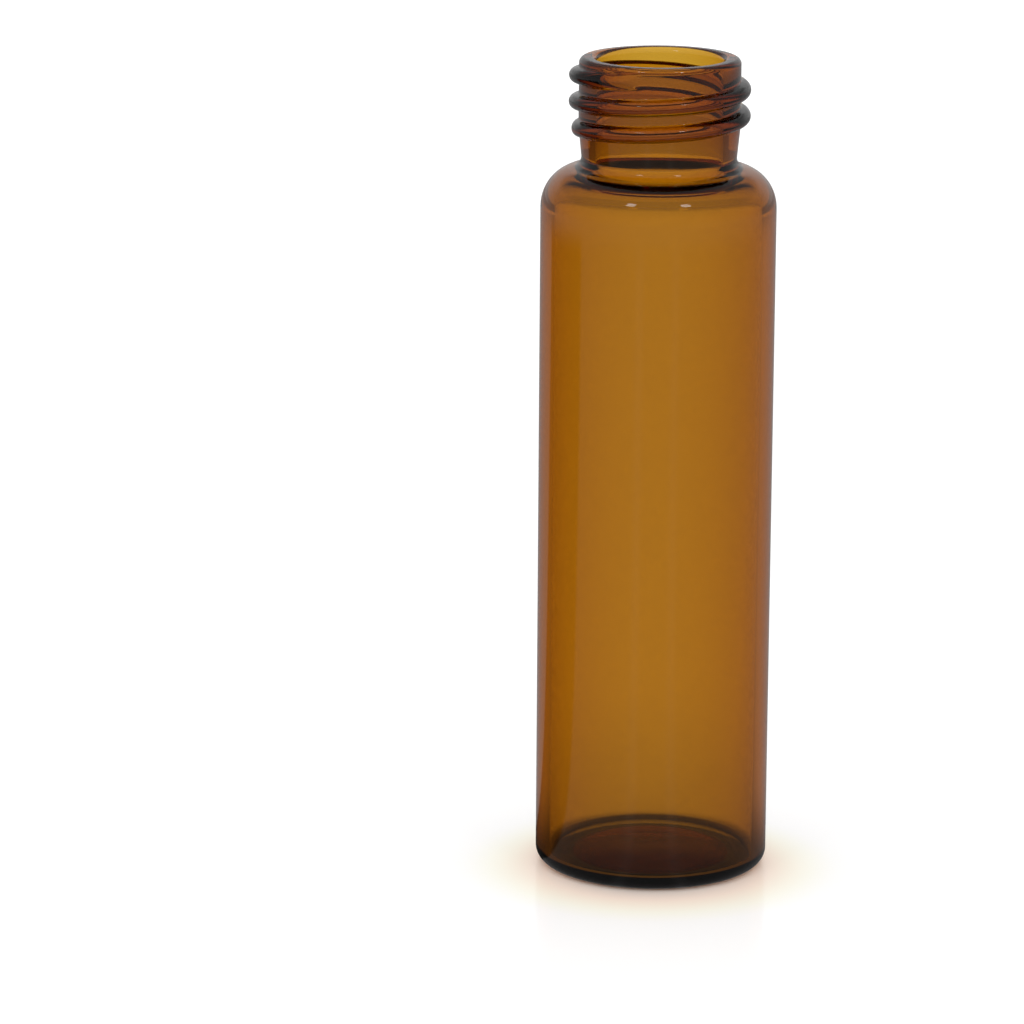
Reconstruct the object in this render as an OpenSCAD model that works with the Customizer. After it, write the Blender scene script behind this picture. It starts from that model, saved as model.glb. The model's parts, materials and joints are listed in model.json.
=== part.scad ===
// Screw-neck glass sample vial, drawn from one piece of tube.
// Millimetres, +Z up, origin at the centre of the foot, where the vial stands.

/* [Body] */
// Outer diameter of the tube
body_d = 19; // [17:0.25:24]
// Height from the foot to the rim
height = 66.9; // [45:0.1:110]
// Glass thickness of the tube
wall = 1.12; // [0.9:0.02:1.5]

/* [Base] */
// Radius of the rounded heel
heel_r = 1.2; // [0.7:0.05:1.6]
// Width of the flat ring that the vial stands on
foot_w = 2; // [0.4:0.05:2.6]
// Height of the hollow under the base, at its centre
push_up = 0.4; // [0.2:0.05:0.6]
// Glass thickness of the base, at the foot ring
base_t = 0.95; // [0.8:0.05:1.6]
// Rise of the inside floor, from its edge to its centre
floor_rise = 0.5; // [0.2:0.05:0.8]
// Radius of the inside corner between floor and wall
floor_corner_r = 0.45; // [0.3:0.05:1.4]
// Radius of the sealing dimple in the middle of the floor
dimple_r = 2.2; // [0.8:0.1:2.8]
// Depth of the sealing dimple
dimple_depth = 0.03; // [0.02:0.01:0.2]

/* [Shoulder] */
// How far the rounded shoulder draws in from the body
shoulder_w = 3; // [2.4:0.05:3.25]
// Height of the rounded shoulder for each millimetre that it draws in
shoulder_stretch = 1.08; // [0.95:0.01:1.3]
// Slope of the short cone between shoulder and neck, in degrees
shoulder_slope = 14; // [6:1:18]
// Radius of the outside fillet under the neck
neck_fillet_r = 0.9; // [0.4:0.05:1.05]
// Radius of the rounded throat inside, where the neck opens into the body
throat_r = 1; // [0.7:0.05:1.8]

/* [Neck] */
// Outer diameter of the neck at the root of the thread
neck_d = 13; // [12.6:0.05:13.4]
// Outer diameter of the waist between thread and shoulder
waist_d = 12.5; // [12:0.05:12.6]
// Diameter of the bore through the neck
bore_d = 10.2; // [9.4:0.05:10.6]
// Height from the shoulder fillet to the rim
neck_h = 8.05; // [7.8:0.05:11]
// Height of the taper that leads from the waist out to the thread
taper_h = 2.5; // [1.4:0.1:3]
// Radius of the lip, outside
lip_r = 0.5; // [0.3:0.05:0.7]
// Radius of the lip, inside
mouth_r = 0.5; // [0.3:0.05:0.6]

/* [Thread] */
// Outer diameter over the thread
thread_d = 14.6; // [14:0.05:15]
// Rise of the thread in one turn
thread_pitch = 2.117; // [1.8:0.01:2.3]
// Turns of thread, both run-outs included
thread_turns = 2.36; // [1.6:0.02:2.4]
// Width of the thread's bead where it meets the neck
bead_w = 1.45; // [1.2:0.05:1.8]
// Distance from the rim to the crest at the thread's upper end
thread_drop = 1.02; // [0.9:0.01:1.6]
// Angle over which the bead rises out of the neck at each end
run_out = 85; // [45:5:120]
// Compass angle of the thread's lower end, from +X towards +Y
thread_start = 130; // [0:5:355]

/* [Hidden] */

// Curve quality: steps in one rounded corner, and thread rings in one turn
corner_steps = 12;
rings_per_turn = 48;
bead_steps = 8;
// Angle on the bead's round face where its straight side begins
bead_side = 14;
$fn = 96;

// How far the bead's root is sunk into the neck, and its crest at a run-out's tip
root_sink = 0.45;
tip_sink = 0.15;

// Least width of the short cones between shoulder and neck, outside and inside
cone_min_w = 0.04;

body_r = body_d / 2;
inside_r = body_r - wall;
bore_r = bore_d / 2;
neck_r = neck_d / 2;
waist_r = waist_d / 2;
waist_z = height - neck_h;

// Shoulder: an ellipse from the body, a short cone and a fillet at the neck.
// The ellipse ends where it has the cone's slope, which is the same angle at any width.
slope_sin = sin(shoulder_slope);
slope_cos = cos(shoulder_slope);
slope_tan = tan(shoulder_slope);
shoulder_end = atan(shoulder_stretch / slope_tan);
fillet_foot_r = waist_r + neck_fillet_r * (1 - slope_sin);
shoulder_room = (body_r - fillet_foot_r - cone_min_w) / (1 - cos(shoulder_end));
shoulder_a = min(shoulder_w, shoulder_room);
shoulder_b = shoulder_a * shoulder_stretch;
shoulder_tip_r = body_r - shoulder_a * (1 - cos(shoulder_end));
cone_top_z = waist_z - neck_fillet_r * slope_cos;
cone_drop = (shoulder_tip_r - fillet_foot_r) * slope_tan;
shoulder_z = cone_top_z - cone_drop - shoulder_b * sin(shoulder_end);

// Inside of the shoulder: the same ellipse less the wall, then the throat
inner_a = shoulder_a - wall;
inner_b = shoulder_b - wall;
inner_end = atan(inner_b / (inner_a * slope_tan));
inner_tip_r = inside_r - inner_a * (1 - cos(inner_end));
inner_tip_z = shoulder_z + inner_b * sin(inner_end);
throat_room = (inner_tip_r - bore_r - cone_min_w) / (1 - slope_sin);
throat_arc_r = min(throat_r, throat_room);
throat_foot_r = bore_r + throat_arc_r * (1 - slope_sin);
throat_z = inner_tip_z + (inner_tip_r - throat_foot_r) * slope_tan + throat_arc_r * slope_cos;

// Base: the foot ring outside, the domed floor inside
foot_r = body_r - heel_r;
hollow_r = foot_r - foot_w;
floor_r = inside_r - floor_corner_r;

// Thread: height of the lower end's crest, measured from the rim down
thread_low_z = height - thread_drop - thread_turns * thread_pitch;
thread_h = thread_d / 2 - neck_r;

// Points of an elliptic arc about [cx, cy], from angle a0 to a1
function arc(cx, cy, rx, ry, a0, a1) = [
    for (i = [0:corner_steps])
        let (a = a0 + (a1 - a0) * i / corner_steps)
        [cx + rx * cos(a), cy + ry * sin(a)]
];

// Height of a shallow dome at radius r, which stands rise high over its edge
function dome_z(r, edge_r, rise) = rise * (1 - pow(r / edge_r, 2));

// Depth of the sealing dimple at radius r
function dimple_z(r) = r < dimple_r ? dimple_depth * (1 + cos(180 * r / dimple_r)) / 2 : 0;

// Underside of the base, from the axis out to the foot ring
function underside() = [
    for (i = [0:corner_steps])
        let (r = hollow_r * i / corner_steps)
        [r, dome_z(r, hollow_r, push_up)]
];

// Inside floor, from its corner in to the dimple and on to the axis
function inside_floor() = [
    for (i = [1:2 * corner_steps])
        let (part = i / corner_steps - 1)
        let (r = part < 0 ? dimple_r - (floor_r - dimple_r) * part : dimple_r * (1 - part))
        [r, base_t + dome_z(r, floor_r, floor_rise) - dimple_z(r)]
];

// Half section of the glass: up the outside, over the lip and down the inside
function glass_section() = concat(
    underside(),
    arc(foot_r, heel_r, heel_r, heel_r, -90, 0),
    arc(body_r - shoulder_a, shoulder_z, shoulder_a, shoulder_b, 0, shoulder_end),
    arc(waist_r + neck_fillet_r, waist_z, neck_fillet_r, neck_fillet_r, 270 - shoulder_slope, 180),
    [[neck_r, waist_z + taper_h]],
    arc(neck_r - lip_r, height - lip_r, lip_r, lip_r, 0, 90),
    arc(bore_r + mouth_r, height - mouth_r, mouth_r, mouth_r, 90, 180),
    arc(bore_r + throat_arc_r, throat_z, throat_arc_r, throat_arc_r, 180, 270 - shoulder_slope),
    arc(inside_r - inner_a, shoulder_z, inner_a, inner_b, inner_end, 0),
    arc(floor_r, base_t + floor_corner_r, floor_corner_r, floor_corner_r, 0, -90),
    inside_floor()
);

module blown_body() {
    rotate_extrude() polygon(glass_section());
}

// Height of the bead, 0 to 1, at a given number of turns from its lower end
function bead_rise(turn) =
    let (from_end = min(turn, thread_turns - turn) * 360)
    let (part = min(1, max(0, from_end / run_out)))
    (1 - cos(180 * part)) / 2;

// Outline of the bead as [height along the neck, height over the neck], from root to root
bead_outline = concat(
    [[-bead_w / 2, -root_sink]],
    [for (i = [0:bead_steps])
        let (a = 180 - bead_side - (180 - 2 * bead_side) * i / bead_steps)
        [bead_w / 2 * cos(a), thread_h * sin(a)]],
    [[bead_w / 2, -root_sink]]
);

// One ring of the bead's points at a given number of turns from its lower end
function bead_ring(turn) =
    let (rise = bead_rise(turn))
    let (angle = thread_start + 360 * turn)
    let (z = thread_low_z + thread_pitch * turn)
    [for (p = bead_outline)
        let (over = p[1] < 0 ? p[1] : p[1] * rise - tip_sink * (1 - rise))
        [(neck_r + over) * cos(angle), (neck_r + over) * sin(angle), z + p[0]]];

module thread_bead() {
    rings = ceil(thread_turns * rings_per_turn);
    n = len(bead_outline);
    points = [for (i = [0:rings]) each bead_ring(thread_turns * i / rings)];
    sides = [
        for (i = [0:rings - 1], j = [0:n - 1])
            let (a = i * n + j)
            let (b = i * n + (j + 1) % n)
            each [[a, b, b + n], [a, b + n, a + n]]
    ];
    start_cap = [for (j = [1:n - 2]) [0, j + 1, j]];
    end_base = rings * n;
    end_cap = [for (j = [1:n - 2]) [end_base, end_base + j, end_base + j + 1]];
    polyhedron(points, concat(sides, start_cap, end_cap), convexity = 6);
}

module vial() {
    color([0.62, 0.38, 0.12])
    union() {
        blown_body();
        thread_bead();
    }
}

vial();
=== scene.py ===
"""A screw-neck sample vial of amber glass, standing open on a pale bench.

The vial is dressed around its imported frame. Lengths are in metres, +Z is up, the
vial's axis is the Z axis and its foot stands at height zero.
"""

import json
import logging
import math
from dataclasses import dataclass, field
from enum import Enum
from typing import Union

import bmesh
import bpy
from mathutils import Matrix, Vector


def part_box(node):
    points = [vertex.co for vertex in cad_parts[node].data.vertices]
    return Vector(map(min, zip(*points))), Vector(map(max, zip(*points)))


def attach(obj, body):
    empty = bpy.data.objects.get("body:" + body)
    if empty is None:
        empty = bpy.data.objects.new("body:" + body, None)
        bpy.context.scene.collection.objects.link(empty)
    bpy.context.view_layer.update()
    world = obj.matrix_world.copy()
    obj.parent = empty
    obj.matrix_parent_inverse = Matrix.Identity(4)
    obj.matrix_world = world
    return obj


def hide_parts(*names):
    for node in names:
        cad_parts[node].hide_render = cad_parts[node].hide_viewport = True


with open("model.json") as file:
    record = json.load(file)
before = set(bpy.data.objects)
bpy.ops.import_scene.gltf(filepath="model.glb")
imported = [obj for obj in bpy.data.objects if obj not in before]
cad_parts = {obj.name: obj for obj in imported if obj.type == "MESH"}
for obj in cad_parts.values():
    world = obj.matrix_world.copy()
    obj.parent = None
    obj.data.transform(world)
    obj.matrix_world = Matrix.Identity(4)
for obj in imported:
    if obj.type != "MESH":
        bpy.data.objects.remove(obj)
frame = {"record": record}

LOG = logging.getLogger("vial")
MM = 0.001
WHITE = (1.0, 1.0, 1.0, 1.0)
FULL_TURN = 2.0 * math.pi
QUARTER_TURN = 0.5 * math.pi

# Faces that a ray crosses in one wall of glass
WALL_FACES = 2.0

# Half, also the margin that keeps a count clear of rounding
HALF = 0.5

Point = tuple[float, float]
Socket = bpy.types.NodeSocket
Outputs = bpy.types.NodeOutputs
Value = Union[float, Socket]


class Skin(Enum):
    """What the outer face of one row of the glass carries."""

    PLAIN = 0.0
    THREADED = 1.0


class NodeSheet:
    """Adds nodes to one tree and joins them."""

    def __init__(self, tree: bpy.types.NodeTree) -> None:
        """Takes the tree to work on.

        Args:
            tree: The node tree.
        """
        self.tree = tree

    def add(self, kind: str, **settings: object) -> bpy.types.Node:
        """Adds one node.

        Args:
            kind: The node's type name.
            **settings: Properties to set on the node.

        Returns:
            The new node.
        """
        node = self.tree.nodes.new(kind)
        for name, value in settings.items():
            setattr(node, name, value)
        return node

    def feed(self, socket: Socket, value: Value) -> None:
        """Links a socket to a value's source, or sets it to a number.

        Args:
            socket: The input to feed.
            value: An output socket or a plain number.
        """
        if isinstance(value, Socket):
            self.tree.links.new(value, socket)
        else:
            socket.default_value = value

    def math(self, operation: str, *values: Value) -> Socket:
        """Adds one math node.

        Args:
            operation: The operation's name, such as "ADD".
            *values: The operands, in order.

        Returns:
            The result's socket.
        """
        node = self.add("ShaderNodeMath", operation=operation)
        for socket, value in zip(node.inputs, values):
            self.feed(socket, value)
        return node.outputs[0]

    def times(self, first: Value, second: Value) -> Socket:
        """Adds the product of two values."""
        return self.math("MULTIPLY", first, second)

    def clamp(self, value: Value) -> Socket:
        """Adds a clamp to the range from 0 to 1.

        Args:
            value: The value that is clamped.

        Returns:
            The result's socket.
        """
        node = self.add("ShaderNodeClamp")
        self.feed(node.inputs["Value"], value)
        return node.outputs[0]

    def step(self, value: Value, start: float, end: float) -> Socket:
        """Adds a smooth step from 0 to 1.

        Args:
            value: The value that is stepped.
            start: The value at which the step begins.
            end: The value at which it is complete.

        Returns:
            The result's socket.
        """
        node = self.add("ShaderNodeMapRange", interpolation_type="SMOOTHSTEP")
        self.feed(node.inputs["Value"], value)
        node.inputs["From Min"].default_value = start
        node.inputs["From Max"].default_value = end
        return node.outputs[0]

    def blend(self, share: Value, low: Value, high: Value) -> Socket:
        """Adds a blend between two values.

        Args:
            share: How much of the second value shows, 0 to 1.
            low: The first value.
            high: The second value.

        Returns:
            The result's socket.
        """
        node = self.add("ShaderNodeMix", data_type="FLOAT")
        factor, first, second = node.inputs[0], node.inputs[2], node.inputs[3]
        for socket, value in ((factor, share), (first, low), (second, high)):
            self.feed(socket, value)
        return node.outputs[0]

    def split(self, vector: Socket) -> Outputs:
        """Adds the node that splits a vector.

        Args:
            vector: The vector.

        Returns:
            The node's outputs, X, Y and Z.
        """
        node = self.add("ShaderNodeSeparateXYZ")
        self.feed(node.inputs[0], vector)
        return node.outputs

    def bearing(self, spot: Outputs) -> Socket:
        """Adds the nodes that give a spot's angle round the vial, from the front to the right."""
        return self.math("ARCTAN2", spot["X"], self.times(spot["Y"], -1.0))


class Ray:
    """How a ray reached the face that it shades.

    Each answer is 1 for yes and 0 for no.
    """

    def __init__(self, sheet: NodeSheet) -> None:
        """Adds the light path node.

        Args:
            sheet: The sheet to add to.
        """
        self.sheet = sheet
        self.path = sheet.add("ShaderNodeLightPath").outputs

    def from_eye(self) -> Socket:
        """Whether it comes straight from the eye."""
        return self.path["Is Camera Ray"]

    def out_of_glass(self) -> Socket:
        """Whether it last passed a face of the glass."""
        return self.path["Is Transmission Ray"]

    def mirrored(self) -> Socket:
        """Whether it was mirrored on its way."""
        return self.sheet.math("MINIMUM", self.path["Glossy Depth"], 1.0)

    def both_walls(self) -> Socket:
        """Whether it went through more than one wall."""
        return self.sheet.math("GREATER_THAN", self.path["Transmission Depth"], WALL_FACES + HALF)

    def shows_in_glass(self) -> Socket:
        """Whether it was bent or mirrored last, and met no matt face on its way."""
        bent = self.sheet.math("MAXIMUM", self.path["Is Glossy Ray"], self.path["Is Transmission Ray"])
        return self.sheet.times(bent, self.sheet.math("LESS_THAN", self.path["Diffuse Depth"], HALF))


@dataclass(frozen=True)
class AmberGlass:
    """Clear amber glass that darkens with depth.

    The absorptions are per metre of glass, for red, green and blue light.
    """

    refraction: float = 1.51
    absorb_red: float = 380.0
    absorb_green: float = 800.0
    absorb_blue: float = 2500.0

    def build(self, name: str) -> bpy.types.Material:
        """Makes the material.

        Args:
            name: The material's name.

        Returns:
            The finished material.
        """
        material = bpy.data.materials.new(name)
        material.use_nodes = True
        sheet = NodeSheet(material.node_tree)
        sheet.tree.nodes.clear()
        glass = sheet.add("ShaderNodeBsdfPrincipled")
        glass.inputs["Base Color"].default_value = WHITE
        glass.inputs["Roughness"].default_value = 0.0
        glass.inputs["IOR"].default_value = self.refraction
        glass.inputs["Transmission Weight"].default_value = 1.0
        depth = sheet.add("ShaderNodeVolumeAbsorption")
        absorbed = (self.absorb_red, self.absorb_green, self.absorb_blue)
        density = max(absorbed)
        passed = [1.0 - part / density for part in absorbed]
        depth.inputs["Color"].default_value = (*passed, 1.0)
        depth.inputs["Density"].default_value = density
        output = sheet.add("ShaderNodeOutputMaterial")
        sheet.feed(output.inputs["Surface"], glass.outputs[0])
        sheet.feed(output.inputs["Volume"], depth.outputs[0])
        return material


@dataclass(frozen=True)
class Surround:
    """The room: white light for the bench, and pale sides under a dark ceiling for the glass.

    Shades are shares of white. Angles run round the vial from the front, to the right, and
    heights are angles above the bench.

    Attributes:
        mirrored: Shade that faces of the glass mirror from the front and sides.
        behind: Shade that they mirror from behind.
        far: Shade of the distant bench that they mirror, with its start and end.
        gap: Shade of a dark gap to the left, with its ends and the softness of its edges.
        bars: How much paler two upright bars at the front are, with their place and reach.
        rear_start: Where the shades of the front start to give way to those behind.
        rear_end: Where they have given way.
        horizon: Shade of the room through the glass.
        back: Darker shade behind, for rays mirrored in the glass and past both walls, with
            its start and end round the vial and the heights over which it sets in.
        ceiling: Shade of the ceiling through the glass, with its start and end in height.
        room: Shade of the room off a face.
        backdrop: Shade of the low backdrop behind, off a face.
    """

    mirrored: float = 0.24
    behind: float = 0.32
    far: float = 0.34
    far_start: float = 0.27
    far_end: float = 0.36
    gap: float = 0.04
    gap_start: float = math.radians(-126.0)
    gap_end: float = math.radians(-79.0)
    gap_edge: float = math.radians(2.0)
    bars: float = 0.1
    bar_place: float = math.radians(17.0)
    bar_reach: float = math.radians(7.0)
    rear_start: float = math.radians(95.0)
    rear_end: float = math.radians(140.0)
    horizon: float = 0.8
    back: float = 0.22
    back_start: float = math.radians(120.0)
    back_end: float = math.radians(150.0)
    back_low: float = math.radians(1.0)
    back_high: float = math.radians(6.0)
    ceiling: float = 0.03
    ceiling_start: float = math.radians(18.0)
    ceiling_end: float = math.radians(26.0)
    room: float = 0.3
    backdrop: float = 0.55

    def around(self, sheet: NodeSheet, ray: Ray, spot: Outputs) -> Socket:
        """Adds the nodes that give the mirrored shade in one direction round the vial.

        Args:
            sheet: The sheet to add to.
            ray: How the ray got there.
            spot: The spot that gives the direction, as X, Y and Z.

        Returns:
            The shade.
        """
        angle = sheet.bearing(spot)
        off_front = sheet.math("ABSOLUTE", angle)
        rear = sheet.step(off_front, self.rear_start, self.rear_end)

        # Off the outer face
        off_bar = sheet.math("ABSOLUTE", sheet.math("SUBTRACT", off_front, self.bar_place))
        bar = sheet.step(off_bar, self.bar_reach, 0.0)
        front = sheet.math("ADD", self.mirrored, sheet.times(bar, self.bars))
        pale = sheet.blend(rear, front, self.behind)
        enter = sheet.step(angle, self.gap_start - self.gap_edge, self.gap_start + self.gap_edge)
        leave = sheet.step(angle, self.gap_end + self.gap_edge, self.gap_end - self.gap_edge)
        outside = sheet.blend(sheet.times(enter, leave), pale, self.gap)

        # Mirrored within the glass
        inside = sheet.blend(rear, self.mirrored, 1.0)
        return sheet.blend(ray.out_of_glass(), outside, inside)

    def build_world(self, name: str) -> bpy.types.World:
        """Makes the world: white light for the bench, and the room for glass.

        Args:
            name: The world's name.

        Returns:
            The finished world.
        """
        world = bpy.data.worlds.new(name)
        world.use_nodes = True
        sheet = NodeSheet(world.node_tree)
        ray = Ray(sheet)
        spot = sheet.split(sheet.add("ShaderNodeTexCoord").outputs["Generated"])
        height = sheet.math("ARCSINE", spot["Z"])
        above = sheet.step(height, self.ceiling_start, self.ceiling_end)
        off_front = sheet.math("ABSOLUTE", sheet.bearing(spot))
        rear = sheet.step(off_front, self.back_start, self.back_end)

        # Through the glass
        raised = sheet.times(rear, sheet.step(height, self.back_low, self.back_high))
        between = sheet.times(ray.mirrored(), ray.both_walls())
        level = sheet.blend(sheet.times(raised, between), self.horizon, self.back)
        through = sheet.blend(above, level, self.ceiling)

        # Off a face
        low = sheet.math("SUBTRACT", rear, sheet.times(rear, above))
        sheen = sheet.blend(low, self.room, self.backdrop)
        shown = sheet.blend(ray.out_of_glass(), sheen, through)
        light = world.node_tree.nodes["Background"]
        light.inputs["Color"].default_value = WHITE
        sheet.feed(light.inputs["Strength"], sheet.blend(ray.shows_in_glass(), 1.0, shown))
        return world


@dataclass(frozen=True)
class PaleBench:
    """Smooth white bench top with a faint sheen, lit a little past white.

    Distances run from the vial's axis. Shades and levels are shares of white.

    Attributes:
        surround: The room round the bench.
        shade: Shade of the bench.
        roughness: Roughness of its sheen.
        specular: Strength of its sheen.
        painted_amber_red: Red part of the painted amber light, as if thrown through the glass, that its
            colour carries at the glass, with the green and blue parts.
        painted_amber_start: Where the painted amber light starts to fade, with its end.
        ahead: How far the painted amber light and the painted shadow are moved towards the front.
        lift: Light of its own, to the eye, near the vial.
        lift_far: The same far off, with the start and end of the change.
        painted_shadow_start: Where the lift sets in, with its ends for red, green and blue; held back
            inside them, it leaves a painted warm shadow round the foot over the real contact shadow.
        through: Light of its own, through glass, with its start and end; held back near the foot, it
            paints shade there.
        shadow: How dark the ring round the foot is that glass shows, with its edges.
        sheen: Level of the bench near the foot as the glass mirrors it, darkened as painted shade, with
            its end.
        dim: Level of the far bench through both walls, with its start and end.
    """

    surround: Surround
    shade: float = 0.94
    roughness: float = 0.08
    specular: float = 0.3
    painted_amber_red: float = 0.94
    painted_amber_green: float = 0.9
    painted_amber_blue: float = 0.84
    painted_amber_start: float = 10.0 * MM
    painted_amber_end: float = 16.0 * MM
    ahead: float = 2.0 * MM
    lift: float = 0.24
    lift_far: float = 1.0
    lift_far_start: float = 0.15
    lift_far_end: float = 0.8
    painted_shadow_start: float = 5.5 * MM
    painted_shadow_red_end: float = 10.5 * MM
    painted_shadow_green_end: float = 13.5 * MM
    painted_shadow_blue_end: float = 17.0 * MM
    through: float = 0.17
    through_start: float = 12.0 * MM
    through_end: float = 60.0 * MM
    shadow: float = 0.85
    shadow_inner: float = 5.0 * MM
    shadow_full: float = 7.5 * MM
    shadow_start: float = 11.5 * MM
    shadow_end: float = 14.5 * MM
    sheen: float = 0.6
    sheen_end: float = 30.0 * MM
    dim: float = 0.65
    dim_start: float = 0.34
    dim_end: float = 0.46

    def distance(self, sheet: NodeSheet, place: Socket, ahead: float) -> Socket:
        """Adds the nodes that give the distance from the vial's foot.

        Args:
            sheet: The sheet to add to.
            place: The point on the bench.
            ahead: How far in front of the foot's centre the distance starts.

        Returns:
            The distance.
        """
        moved = sheet.add("ShaderNodeVectorMath", operation="ADD")
        sheet.feed(moved.inputs[0], place)
        moved.inputs[1].default_value = (0.0, ahead, 0.0)
        length = sheet.add("ShaderNodeVectorMath", operation="LENGTH")
        sheet.feed(length.inputs[0], moved.outputs[0])
        return length.outputs["Value"]

    def painted_amber_tone(self, sheet: NodeSheet, near: Socket) -> Socket:
        """Adds the nodes that give the bench's colour, with painted amber light laid in at the glass.

        Args:
            sheet: The sheet to add to.
            near: Distance from the tint's centre.

        Returns:
            The colour, with painted amber light at the glass.
        """
        colour = sheet.add("ShaderNodeCombineColor")
        fade = sheet.step(near, self.painted_amber_start, self.painted_amber_end)
        for socket, warm in zip(colour.inputs, (self.painted_amber_red, self.painted_amber_green, self.painted_amber_blue)):
            sheet.feed(socket, sheet.blend(fade, warm, self.shade))
        return colour.outputs[0]

    def glow(self, sheet: NodeSheet, ray: Ray, away: Socket, near: Socket) -> Socket:
        """Adds the nodes that give the bench's own light, held back round the foot as painted shadow.

        Args:
            sheet: The sheet to add to.
            ray: How the ray got there.
            away: Distance from the vial's axis.
            near: Distance from the tint's centre.

        Returns:
            The light's colour: held back near the glass, where it paints a warm shadow over the real
            one, and white further off.
        """
        further = sheet.step(away, self.lift_far_start, self.lift_far_end)
        lift = sheet.times(ray.from_eye(), sheet.blend(further, self.lift, self.lift_far))
        # Held back near the foot: painted shade on the bench seen through glass
        passed = sheet.times(ray.out_of_glass(), sheet.step(away, self.through_start, self.through_end))
        through = sheet.times(passed, self.through)
        colour = sheet.add("ShaderNodeCombineColor")
        # Held back round the foot, blue furthest out: painted warm shadow over the real contact shadow
        for socket, end in zip(colour.inputs, (self.painted_shadow_red_end, self.painted_shadow_green_end, self.painted_shadow_blue_end)):
            lit = sheet.times(lift, sheet.step(near, self.painted_shadow_start, end))
            sheet.feed(socket, sheet.math("ADD", lit, through))
        return colour.outputs[0]

    def mirrored_level(self, sheet: NodeSheet, ray: Ray, spot: Outputs, away: Socket) -> Socket:
        """Adds the nodes that give the level of the bench as the glass mirrors it.

        Args:
            sheet: The sheet to add to.
            ray: How the ray got there.
            spot: The point on the bench, as X, Y and Z.
            away: Distance from the vial's axis.

        Returns:
            The level.
        """
        around = self.surround.around(sheet, ray, spot)
        # Painted shade: the bench that the glass mirrors is darker near the foot
        close = sheet.blend(sheet.step(away, self.painted_shadow_start, self.sheen_end), self.sheen, 1.0)
        distant = sheet.step(away, self.surround.far_start, self.surround.far_end)
        return sheet.blend(distant, sheet.times(around, close), self.surround.far)

    def shadow_ring(self, sheet: NodeSheet, away: Socket) -> Socket:
        """Adds the nodes that give the dark ring round the foot.

        Args:
            sheet: The sheet to add to.
            away: Distance from the vial's axis.

        Returns:
            How dark the ring is, 0 to 1.
        """
        inner = sheet.step(away, self.shadow_inner, self.shadow_full)
        outer = sheet.step(away, self.shadow_end, self.shadow_start)
        return sheet.times(sheet.times(inner, outer), self.shadow)

    def build(self, name: str) -> bpy.types.Material:
        """Makes the material.

        Args:
            name: The material's name.

        Returns:
            The finished material.
        """
        material = bpy.data.materials.new(name)
        material.use_nodes = True
        nodes = material.node_tree.nodes
        sheet = NodeSheet(material.node_tree)
        ray = Ray(sheet)
        place = sheet.add("ShaderNodeTexCoord").outputs["Object"]
        away = self.distance(sheet, place, 0.0)
        near = self.distance(sheet, place, self.ahead)

        top = nodes["Principled BSDF"]
        top.inputs["Roughness"].default_value = self.roughness
        top.inputs["Specular IOR Level"].default_value = self.specular
        # Base colour: painted amber light round the foot
        sheet.feed(top.inputs["Base Color"], self.painted_amber_tone(sheet, near))
        sheet.feed(top.inputs["Emission Color"], self.glow(sheet, ray, away, near))
        top.inputs["Emission Strength"].default_value = 1.0

        # What glass shows of it
        in_glass = sheet.add("ShaderNodeEmission")
        mirrored = ray.mirrored()
        far = sheet.step(away, self.dim_start, self.dim_end)
        level = self.mirrored_level(sheet, ray, sheet.split(place), away)
        dimmed = sheet.times(far, self.dim)
        sheet.feed(in_glass.inputs["Strength"], sheet.blend(mirrored, dimmed, level))
        through_both = sheet.times(far, ray.both_walls())
        dark = sheet.math("MAXIMUM", through_both, self.shadow_ring(sheet, away))
        share = sheet.math("MAXIMUM", mirrored, dark)
        choose = sheet.add("ShaderNodeMixShader")
        sheet.feed(choose.inputs[0], sheet.times(ray.shows_in_glass(), share))
        sheet.feed(choose.inputs[1], top.outputs[0])
        sheet.feed(choose.inputs[2], in_glass.outputs[0])
        sheet.feed(nodes["Material Output"].inputs["Surface"], choose.outputs[0])
        return material


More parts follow.
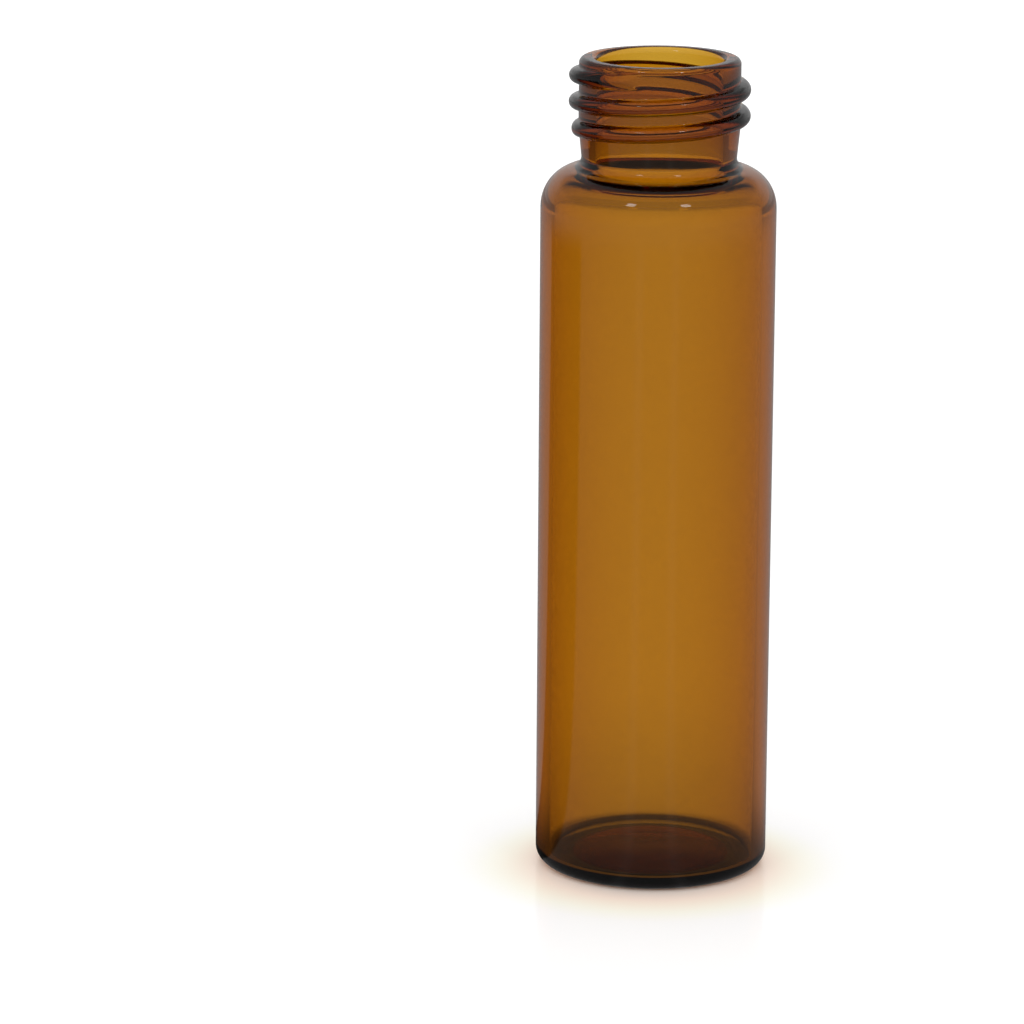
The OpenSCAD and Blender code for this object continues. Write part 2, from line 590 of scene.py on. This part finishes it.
@dataclass
class GlassSection:
    """Half section of the glass, as points from the foot's centre round to the floor's centre.

    The sizes that the frame gives are passed in. The others are the tube's own.

    Attributes:
        body_r: Outer radius of the tube.
        height: Height from the foot to the rim.
        bore_r: Radius of the bore through the neck.
        wall: Glass thickness of the tube.
        heel_r: Radius of the rounded heel.
        foot_w: Width of the flat ring that the vial stands on.
        push_up: Height of the hollow under the base, at its centre.
        base_t: Glass thickness of the base, at the foot ring.
        floor_rise: Rise of the inside floor, from its edge to its centre.
        floor_corner_r: Radius of the inside corner between floor and wall.
        dimple_r: Radius of the sealing dimple in the middle of the floor, with its depth.
        shoulder_w: How far the rounded shoulder draws in from the body.
        shoulder_stretch: Height of the shoulder, as a multiple of that width.
        shoulder_slope: Slope of the short cone between shoulder and neck.
        neck_fillet_r: Radius of the outside fillet under the neck.
        throat_r: Radius of the rounded throat inside, where the neck opens into the body.
        neck_r: Outer radius of the neck at the root of the thread.
        waist_r: Outer radius of the waist between thread and shoulder.
        neck_h: Height from the shoulder fillet to the rim.
        taper_h: Height of the taper that leads from the waist out to the thread.
        plain_taper: Share of the taper that stays plain, below the thread.
        lip_r: Radius of the lip outside, with mouth_r for the inside.
        arc_step: Angle between the points of an arc.
        dome_steps: Steps between the middle of a dome and its edge.
        plain_row: Longest step between the rows of a plain face.
        fine_row: The same where the thread is.
        rows: The rows worked out so far.
    """

    body_r: float
    height: float
    bore_r: float
    wall: float = 1.12 * MM
    heel_r: float = 1.2 * MM
    foot_w: float = 2.0 * MM
    push_up: float = 0.4 * MM
    base_t: float = 0.95 * MM
    floor_rise: float = 0.5 * MM
    floor_corner_r: float = 0.45 * MM
    dimple_r: float = 2.2 * MM
    dimple_depth: float = 0.03 * MM
    shoulder_w: float = 3.0 * MM
    shoulder_stretch: float = 1.08
    shoulder_slope: float = math.radians(14.0)
    neck_fillet_r: float = 0.9 * MM
    throat_r: float = 1.0 * MM
    neck_r: float = 6.5 * MM
    waist_r: float = 6.25 * MM
    neck_h: float = 8.05 * MM
    taper_h: float = 2.5 * MM
    plain_taper: float = 0.45
    lip_r: float = 0.5 * MM
    mouth_r: float = 0.5 * MM
    arc_step: float = math.radians(6.0)
    dome_steps: int = 12
    plain_row: float = 2.5 * MM
    fine_row: float = 0.055 * MM
    rows: list[tuple[float, float, Skin]] = field(default_factory=list)

    @property
    def inside_r(self) -> float:
        """Inner radius of the body."""
        return self.body_r - self.wall

    @property
    def waist_z(self) -> float:
        """Height of the neck's foot, where the fillet ends."""
        return self.height - self.neck_h

    @property
    def fillet_end(self) -> float:
        """Angle on a fillet's circle at which it meets the shoulder's short cone."""
        return 3.0 * QUARTER_TURN - self.shoulder_slope

    @property
    def shoulder_h(self) -> float:
        """Upright half axis of the shoulder's ellipse."""
        return self.shoulder_w * self.shoulder_stretch

    @property
    def shoulder_end(self) -> float:
        """Angle on the shoulder's ellipse at which it has the short cone's slope."""
        return math.atan(self.shoulder_stretch / math.tan(self.shoulder_slope))

    @property
    def shoulder_z(self) -> float:
        """Works out the height at which the shoulder starts from the body.

        Returns:
            The height, counted down from the neck's foot.
        """
        slope = self.shoulder_slope
        cone_foot_r = self.waist_r + self.neck_fillet_r * (1.0 - math.sin(slope))
        cone_tip_r = self.body_r - self.shoulder_w * (1.0 - math.cos(self.shoulder_end))
        cone_drop = (cone_tip_r - cone_foot_r) * math.tan(slope)
        cone_top_z = self.waist_z - self.neck_fillet_r * math.cos(slope)
        return cone_top_z - cone_drop - self.shoulder_h * math.sin(self.shoulder_end)

    def arc(self, centre: Point, radii: Point, start: float, end: float) -> list[Point]:
        """Points along an elliptic arc.

        Args:
            centre: The arc's centre, as radius and height.
            radii: Its half axes.
            start: The first angle, in radians.
            end: The last angle.

        Returns:
            The points, both ends included.
        """
        steps = max(2, round(abs(end - start) / self.arc_step))
        angles = [start + (end - start) * step / steps for step in range(steps + 1)]
        return [
            (centre[0] + radii[0] * math.cos(angle), centre[1] + radii[1] * math.sin(angle))
            for angle in angles
        ]

    @staticmethod
    def dome(radius: float, edge: float, rise: float) -> float:
        """Height of a shallow dome over its edge, at one radius."""
        return rise * (1.0 - (radius / edge) ** 2)

    def dimple(self, radius: float) -> float:
        """Depth of the sealing dimple at one radius."""
        if radius >= self.dimple_r:
            return 0.0
        return self.dimple_depth * (1.0 + math.cos(math.pi * radius / self.dimple_r)) / 2.0

    def run(self, points: list[Point], skin: Skin = Skin.PLAIN) -> None:
        """Adds a run of points, with rows between those that lie far apart.

        Args:
            points: The run's points, as radius and height.
            skin: What the run's face carries.
        """
        gap = self.fine_row if skin is Skin.THREADED else self.plain_row
        for radius, height in points:
            if self.rows:
                last_r, last_z, _ = self.rows[-1]
                steps = max(1, math.ceil(math.hypot(radius - last_r, height - last_z) / gap))
                for part in (step / steps for step in range(1, steps)):
                    row_r = last_r + (radius - last_r) * part
                    row_z = last_z + (height - last_z) * part
                    self.rows.append((row_r, row_z, skin))
            self.rows.append((radius, height, skin))

    def run_base(self) -> None:
        """Adds the domed underside, from the axis out, and the rounded heel."""
        hollow_r = self.body_r - self.heel_r - self.foot_w
        for step in range(self.dome_steps + 1):
            radius = hollow_r * step / self.dome_steps
            self.rows.append((radius, self.dome(radius, hollow_r, self.push_up), Skin.PLAIN))
        heel = (self.heel_r, self.heel_r)
        self.run(self.arc((self.body_r - self.heel_r, self.heel_r), heel, -QUARTER_TURN, 0.0))

    def run_outer_shoulder(self) -> None:
        """Adds the outer shoulder: an ellipse, and the fillet that a short cone leads to."""
        centre = (self.body_r - self.shoulder_w, self.shoulder_z)
        self.run(self.arc(centre, (self.shoulder_w, self.shoulder_h), 0.0, self.shoulder_end))
        centre = (self.waist_r + self.neck_fillet_r, self.waist_z)
        self.run(self.arc(centre, (self.neck_fillet_r, self.neck_fillet_r), self.fillet_end, math.pi))

    def run_neck(self) -> None:
        """Adds the neck, threaded from part of the way up its taper, and the lip."""
        taper_r = self.neck_r - self.waist_r
        thread_foot_z = self.waist_z + self.plain_taper * self.taper_h
        self.run([(self.waist_r + self.plain_taper * taper_r, thread_foot_z)])
        lip_z = self.height - self.lip_r
        self.run([(self.neck_r, self.waist_z + self.taper_h), (self.neck_r, lip_z)], Skin.THREADED)
        lip = (self.lip_r, self.lip_r)
        self.run(self.arc((self.neck_r - self.lip_r, lip_z), lip, 0.0, QUARTER_TURN)[1:])
        mouth = (self.mouth_r, self.mouth_r)
        centre = (self.bore_r + self.mouth_r, self.height - self.mouth_r)
        self.run(self.arc(centre, mouth, QUARTER_TURN, math.pi))

    def run_inner_shoulder(self) -> None:
        """Adds the throat and the inner shoulder, a wall's thickness inside the outer one."""
        slope = self.shoulder_slope
        inner_w = self.shoulder_w - self.wall
        inner_h = self.shoulder_h - self.wall
        inner_end = math.atan(inner_h / (inner_w * math.tan(slope)))
        inner_tip_r = self.inside_r - inner_w * (1.0 - math.cos(inner_end))
        inner_tip_z = self.shoulder_z + inner_h * math.sin(inner_end)
        throat_foot_r = self.bore_r + self.throat_r * (1.0 - math.sin(slope))
        cone_rise = (inner_tip_r - throat_foot_r) * math.tan(slope)
        throat_z = inner_tip_z + cone_rise + self.throat_r * math.cos(slope)
        throat = (self.throat_r, self.throat_r)
        self.run(self.arc((self.bore_r + self.throat_r, throat_z), throat, math.pi, self.fillet_end))
        centre = (self.inside_r - inner_w, self.shoulder_z)
        self.run(self.arc(centre, (inner_w, inner_h), inner_end, 0.0))

    def run_floor(self) -> None:
        """Adds the inside corner, the domed floor and the sealing dimple."""
        floor_r = self.inside_r - self.floor_corner_r
        corner = (self.floor_corner_r, self.floor_corner_r)
        self.run(self.arc((floor_r, self.base_t + self.floor_corner_r), corner, 0.0, -QUARTER_TURN))
        steps = range(1, self.dome_steps + 1)
        radii = [floor_r + (self.dimple_r - floor_r) * step / self.dome_steps for step in steps]
        radii += [self.dimple_r * (1.0 - step / self.dome_steps) for step in steps]
        for radius in radii:
            height = self.base_t + self.dome(radius, floor_r, self.floor_rise) - self.dimple(radius)
            self.rows.append((radius, height, Skin.PLAIN))

    def build(self) -> list[tuple[float, float, Skin]]:
        """Works out every row of the section.

        Returns:
            The rows, each a radius, a height and what its face carries.
        """
        self.run_base()
        self.run_outer_shoulder()
        self.run_neck()
        self.run_inner_shoulder()
        self.run_floor()
        return self.rows


@dataclass(frozen=True)
class ScrewThread:
    """The rolled glass thread: a round bead that climbs the neck and sinks into it at both ends.

    Attributes:
        crest_r: Outer radius over the bead.
        pitch: Rise of the bead in one turn.
        turns: Its turns, both run-outs included.
        drop: Distance from the rim to the crest at its upper end.
        start: Compass angle of its lower end, from +X towards +Y.
        run_out: Angle over which it rises out of the neck at each end.
        bead_h: Height of the bead over the neck.
        top_r: Radius of its round top.
        flank: Slope of its flanks.
        root_blend: Distance over which its flanks run out into the neck.
    """

    crest_r: float = 7.3 * MM
    pitch: float = 2.117 * MM
    turns: float = 2.36
    drop: float = 1.02 * MM
    start: float = math.radians(130.0)
    run_out: float = math.radians(85.0)
    bead_h: float = 0.8 * MM
    top_r: float = 0.6 * MM
    flank: float = math.radians(76.0)
    root_blend: float = 0.2 * MM

    def low_z(self, height: float) -> float:
        """Height of the crest at the thread's lower end, under a rim at the given height."""
        return height - self.drop - self.turns * self.pitch


@dataclass
class Vial:
    """The one piece of glass: tube, base, shoulder, threaded neck and lip.

    Attributes:
        section: Its half section.
        thread: The thread on its neck.
        glass: What it is made of.
        slices: Slices round its axis.
        weld: Distance below which two points become one.
    """

    section: GlassSection
    thread: ScrewThread
    glass: AmberGlass
    slices: int = 300
    weld: float = 0.002 * MM

    def section_mesh(self) -> bpy.types.Mesh:
        """Makes the half section as a chain of edges, marked where it is threaded.

        Returns:
            The section's mesh, in the XZ plane.
        """
        rows = self.section.build()
        mesh = bpy.data.meshes.new("vial_section")
        edges = [(index, index + 1) for index in range(len(rows) - 1)]
        mesh.from_pydata([(radius, 0.0, height) for radius, height, _ in rows], edges, [])
        mark = mesh.attributes.new("threaded", "FLOAT", "POINT")
        mark.data.foreach_set("value", [skin.value for _, _, skin in rows])
        return mesh

    def inputs(self, tree: bpy.types.NodeTree, material: bpy.types.Material) -> dict[str, object]:
        """Names the tree's inputs.

        Args:
            tree: The tree that lathes and threads the glass.
            material: The glass.

        Returns:
            Each input's name with its value.
        """
        thread = self.thread
        values: dict[str, object] = {
            "Slices": self.slices,
            "Weld": self.weld,
            "Crest Radius": thread.crest_r,
            "Pitch": thread.pitch,
            "Turns": thread.turns,
            "Lower End": thread.low_z(self.section.height),
            "Start Angle": thread.start,
            "Run Out": thread.run_out,
            "Bead Height": thread.bead_h,
            "Bead Top Radius": thread.top_r,
            "Flank Angle": thread.flank,
            "Root Blend": thread.root_blend,
            "Material": material,
        }
        kinds = {
            int: "NodeSocketInt",
            float: "NodeSocketFloat",
            bpy.types.Material: "NodeSocketMaterial",
        }
        tree.interface.new_socket("Geometry", in_out="INPUT", socket_type="NodeSocketGeometry")
        for name, value in values.items():
            tree.interface.new_socket(name, in_out="INPUT", socket_type=kinds[type(value)])
        tree.interface.new_socket("Geometry", in_out="OUTPUT", socket_type="NodeSocketGeometry")
        return values

    def sampled(self, sheet: NodeSheet, size: Outputs, kind: str, value: Socket, row: Value) -> Socket:
        """Adds the node that reads one value from a row of the section.

        Args:
            sheet: The sheet to add to.
            size: The group's inputs.
            kind: The value's data type.
            value: The value, as a field on the section.
            row: The row's number.

        Returns:
            The value at that row.
        """
        sample = sheet.add("GeometryNodeSampleIndex", data_type=kind, domain="POINT")
        sheet.feed(sample.inputs["Geometry"], size["Geometry"])
        sheet.feed(sample.inputs["Value"], value)
        sheet.feed(sample.inputs["Index"], row)
        return sample.outputs[0]

    def rise(self, sheet: NodeSheet, size: Outputs, turn: Socket) -> Socket:
        """Adds the nodes that let the bead's ends rise smoothly out of the neck.

        Args:
            sheet: The sheet to add to.
            size: The group's inputs.
            turn: Turns of the bead from its lower end.

        Returns:
            The share of the bead's height, 0 to 1.
        """
        from_end = sheet.math("MINIMUM", turn, sheet.math("SUBTRACT", size["Turns"], turn))
        part = sheet.clamp(sheet.math("DIVIDE", sheet.times(from_end, FULL_TURN), size["Run Out"]))
        cosine = sheet.math("COSINE", sheet.times(part, math.pi))
        return sheet.times(sheet.math("SUBTRACT", 1.0, cosine), HALF)

    def profile(self, sheet: NodeSheet, size: Outputs, off: Socket) -> Socket:
        """Adds the nodes that give the bead's round top, straight flanks and soft root.

        Args:
            sheet: The sheet to add to.
            size: The group's inputs.
            off: Height from the bead's middle.

        Returns:
            How far the bead stands out there.
        """
        top_r, flank = size["Bead Top Radius"], size["Flank Angle"]
        edge = sheet.times(top_r, sheet.math("SINE", flank))
        near = sheet.math("MINIMUM", off, edge)
        past = sheet.math("MAXIMUM", sheet.math("SUBTRACT", off, edge), 0.0)
        square = sheet.math("SUBTRACT", sheet.times(top_r, top_r), sheet.times(near, near))
        arch = sheet.math("SUBTRACT", sheet.math("SQRT", square), top_r)
        fall = sheet.times(past, sheet.math("TANGENT", flank))
        crown = sheet.math("ADD", sheet.math("SUBTRACT", arch, fall), size["Bead Height"])
        return sheet.math("SMOOTH_MAX", crown, 0.0, size["Root Blend"])

    def bead(self, sheet: NodeSheet, size: Outputs, angle: Value, height: Value) -> Socket:
        """Adds the nodes that give the bead's height, as a share of its full height.

        Args:
            sheet: The sheet to add to.
            size: The group's inputs.
            angle: Compass angle of the point.
            height: Height of the point.

        Returns:
            The share, 0 off the bead and 1 on its crest.
        """
        lead = sheet.math("DIVIDE", sheet.math("SUBTRACT", angle, size["Start Angle"]), FULL_TURN)
        above = sheet.math("SUBTRACT", height, size["Lower End"])
        climbed = sheet.math("DIVIDE", above, size["Pitch"])
        whole = sheet.math("ROUND", sheet.math("SUBTRACT", climbed, lead))
        turn = sheet.math("ADD", lead, whole)
        off = sheet.math("ABSOLUTE", sheet.math("SUBTRACT", climbed, turn))
        form = self.profile(sheet, size, sheet.times(off, size["Pitch"]))
        share = sheet.math("DIVIDE", form, size["Bead Height"])
        return sheet.times(share, self.rise(sheet, size, turn))

    def lathe(self, sheet: NodeSheet, size: Outputs) -> Socket:
        """Adds the nodes that turn the section round the axis and roll the thread on it.

        Args:
            sheet: The sheet to add to.
            size: The group's inputs.

        Returns:
            The shaped glass, still open where it meets itself.
        """
        rows = sheet.add("GeometryNodeAttributeDomainSize", component="MESH")
        sheet.feed(rows.inputs[0], size["Geometry"])
        row_count = rows.outputs["Point Count"]
        grid = sheet.add("GeometryNodeMeshGrid")
        sheet.feed(grid.inputs["Vertices X"], sheet.math("ADD", size["Slices"], 1.0))
        sheet.feed(grid.inputs["Vertices Y"], row_count)

        # The grid's points run up one column after the other
        index = sheet.add("GeometryNodeInputIndex").outputs[0]
        centred = sheet.math("ADD", index, HALF)
        column = sheet.math("FLOOR", sheet.math("DIVIDE", centred, row_count))
        row = sheet.math("SUBTRACT", index, sheet.times(column, row_count))
        angle = sheet.math("DIVIDE", sheet.times(column, FULL_TURN), size["Slices"])

        position = sheet.add("GeometryNodeInputPosition").outputs[0]
        place = sheet.split(self.sampled(sheet, size, "FLOAT_VECTOR", position, row))
        radius, height = place["X"], place["Z"]
        mark = sheet.add("GeometryNodeInputNamedAttribute", data_type="FLOAT")
        mark.inputs["Name"].default_value = "threaded"
        threaded = self.sampled(sheet, size, "FLOAT", mark.outputs["Attribute"], row)

        share = self.bead(sheet, size, angle, height)
        room = sheet.math("SUBTRACT", size["Crest Radius"], radius)
        proud = sheet.times(sheet.times(share, room), threaded)
        reach = sheet.math("ADD", radius, proud)
        spot = sheet.add("ShaderNodeCombineXYZ")
        sheet.feed(spot.inputs["X"], sheet.times(reach, sheet.math("COSINE", angle)))
        sheet.feed(spot.inputs["Y"], sheet.times(reach, sheet.math("SINE", angle)))
        sheet.feed(spot.inputs["Z"], height)
        shape = sheet.add("GeometryNodeSetPosition")
        sheet.feed(shape.inputs["Geometry"], grid.outputs["Mesh"])
        sheet.feed(shape.inputs["Position"], spot.outputs[0])
        return shape.outputs[0]

    def tree(self, material: bpy.types.Material) -> tuple[bpy.types.NodeTree, dict[str, object]]:
        """Builds the tree that makes the glass from its section.

        Args:
            material: The glass.

        Returns:
            The tree and its inputs' values by name.
        """
        tree = bpy.data.node_groups.new("lathe_and_thread", "GeometryNodeTree")
        values = self.inputs(tree, material)
        sheet = NodeSheet(tree)
        size = sheet.add("NodeGroupInput").outputs
        welded = sheet.add("GeometryNodeMergeByDistance")
        sheet.feed(welded.inputs["Geometry"], self.lathe(sheet, size))
        sheet.feed(welded.inputs["Distance"], size["Weld"])
        smooth = sheet.add("GeometryNodeSetShadeSmooth")
        sheet.feed(smooth.inputs["Geometry"], welded.outputs[0])
        real = sheet.add("GeometryNodeRealizeInstances")
        sheet.feed(real.inputs["Geometry"], smooth.outputs[0])
        finish = sheet.add("GeometryNodeSetMaterial")
        sheet.feed(finish.inputs["Geometry"], real.outputs[0])
        sheet.feed(finish.inputs["Material"], size["Material"])
        output = sheet.add("NodeGroupOutput")
        sheet.feed(output.inputs[0], finish.outputs[0])
        return tree, values

    def build(self) -> None:
        """Makes the vial, puts it in place of its CAD node and reports it."""
        material = self.glass.build("amber_glass")
        piece = bpy.data.objects.new("glass_vial", self.section_mesh())
        bpy.context.scene.collection.objects.link(piece)
        tree, values = self.tree(material)
        modifier = piece.modifiers.new("lathe_and_thread", "NODES")
        modifier.node_group = tree
        for item in tree.interface.items_tree:
            if item.in_out == "INPUT" and item.name in values:
                modifier[item.identifier] = values[item.name]
        evaluated = piece.evaluated_get(bpy.context.evaluated_depsgraph_get())
        solid = bpy.data.meshes.new_from_object(evaluated)
        piece.modifiers.remove(modifier)
        piece.data = solid
        solid.name = "glass_vial"
        self.face_outwards(solid)
        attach(piece, "root")
        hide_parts("vial")

    @staticmethod
    def face_outwards(mesh: bpy.types.Mesh) -> None:
        """Turns the faces outwards and reports the closed shell.

        Args:
            mesh: The vial's mesh.
        """
        shell = bmesh.new()
        shell.from_mesh(mesh)
        if shell.calc_volume(signed=True) < 0.0:
            bmesh.ops.reverse_faces(shell, faces=shell.faces)
        faces = len(shell.faces)
        open_edges = sum(1 for edge in shell.edges if not edge.is_manifold)
        volume = shell.calc_volume(signed=True) / MM ** 3
        LOG.info("glass vial: %d faces, %d open edges, %.0f cubic mm", faces, open_edges, volume)
        shell.to_mesh(mesh)
        shell.free()


@dataclass(frozen=True)
class Softbox:
    """A square lamp that faces the vial's neck.

    Attributes:
        turn: Where it hangs round the vial, from the front to the right.
        rise: How high it hangs, as an angle.
        reach: Its distance from the point that it faces.
        side: Length of its sides.
        glow: How bright its face is, where 1 is white.
        aim: Height of the point that it faces.
    """

    turn: float
    rise: float = math.radians(47.0)
    reach: float = 0.6
    side: float = 0.085
    glow: float = 5.0
    aim: float = 57.0 * MM

    def add(self, name: str) -> None:
        """Hangs the lamp, out of the camera's sight.

        Args:
            name: The lamp's name.
        """
        data = bpy.data.lights.new(name, "AREA")
        data.size = self.side
        data.energy = self.glow * math.pi * self.side ** 2
        lamp = bpy.data.objects.new(name, data)
        bpy.context.scene.collection.objects.link(lamp)
        level = math.cos(self.rise)
        away = Vector((math.sin(self.turn) * level, -math.cos(self.turn) * level, math.sin(self.rise)))
        lamp.location = Vector((0.0, 0.0, self.aim)) + away * self.reach
        lamp.rotation_euler = away.to_track_quat("Z", "Y").to_euler()
        lamp.visible_camera = False
        turn, rise = math.degrees(self.turn), math.degrees(self.rise)
        LOG.info("%s: %.0f degrees round, %.0f degrees up", name, turn, rise)


@dataclass
class Studio:
    """Bench, soft light and camera.

    Attributes:
        surround: The room.
        bench: Finish of the bench top.
        lamp_turn: How far round each lamp hangs, to its side of the front.
        bench_size: Length of the bench top's sides.
        distance: How far in front of the vial's axis the camera stands.
        eye_height: Its height above the bench.
        turn: How far it looks to the right.
        tilt: How far it looks down.
        roll: How far it is rolled about its own axis.
        lens: Its focal length, in millimetres.
        film: Width of its film, in millimetres.
        near_clip: The shortest distance that it shows.
    """

    surround: Surround
    bench: PaleBench
    lamp_turn: float = math.radians(34.0)
    bench_size: float = 4.0
    distance: float = 0.4204
    eye_height: float = 0.1329
    turn: float = math.radians(-1.585)
    tilt: float = math.radians(13.837)
    roll: float = math.radians(0.3465)
    lens: float = 186.6
    film: float = 36.0
    near_clip: float = 0.01

    def add_bench(self) -> None:
        """Lays the bench top under the vial."""
        half = self.bench_size / 2.0
        mesh = bpy.data.meshes.new("bench_top")
        corners = [(-half, -half, 0.0), (half, -half, 0.0), (half, half, 0.0), (-half, half, 0.0)]
        mesh.from_pydata(corners, [], [(0, 1, 2, 3)])
        mesh.materials.append(self.bench.build("pale_bench"))
        top = bpy.data.objects.new("bench_top", mesh)
        bpy.context.scene.collection.objects.link(top)
        LOG.info("bench top: %.1f m square", self.bench_size)

    def add_surround(self) -> None:
        """Surrounds the bench with soft light."""
        bpy.context.scene.world = self.surround.build_world("soft_surround")
        LOG.info("surround: white, %.2f of white in reflections", self.surround.mirrored)

    def add_camera(self) -> None:
        """Sets up the camera in front of the vial, a little above it."""
        data = bpy.data.cameras.new("camera")
        data.lens = self.lens
        data.sensor_width = self.film
        data.clip_start = self.near_clip
        camera = bpy.data.objects.new("camera", data)
        bpy.context.scene.collection.objects.link(camera)
        level = math.cos(self.tilt)
        look = Vector((math.sin(self.turn) * level, math.cos(self.turn) * level, -math.sin(self.tilt)))
        aimed = look.to_track_quat("-Z", "Y").to_matrix().to_4x4()
        place = Matrix.Translation((0.0, -self.distance, self.eye_height))
        camera.matrix_world = place @ aimed @ Matrix.Rotation(self.roll, 4, "Z")
        bpy.context.scene.camera = camera
        bpy.context.scene.view_settings.view_transform = "Standard"
        LOG.info("camera: %.0f mm lens, %.0f mm away", self.lens, self.distance / MM)

    def build(self) -> None:
        """Sets up everything around the vial."""
        self.add_bench()
        self.add_surround()
        Softbox(-self.lamp_turn).add("left_softbox")
        Softbox(self.lamp_turn).add("right_softbox")
        self.add_camera()


def main() -> None:
    """Builds the vial and its studio."""
    logging.basicConfig(level=logging.INFO, format="%(name)s: %(message)s")
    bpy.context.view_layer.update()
    low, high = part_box("vial")
    mounts = {mount["name"]: mount for mount in frame["record"]["mounts"]}
    section = GlassSection(
        body_r=mounts["body"]["dims"]["r_mm"] * MM,
        height=high[2] - low[2],
        bore_r=mounts["mouth"]["dims"]["r_mm"] * MM,
    )
    Vial(section, ScrewThread(), AmberGlass()).build()
    surround = Surround()
    Studio(surround, PaleBench(surround)).build()


if __name__ == "__main__":
    main()
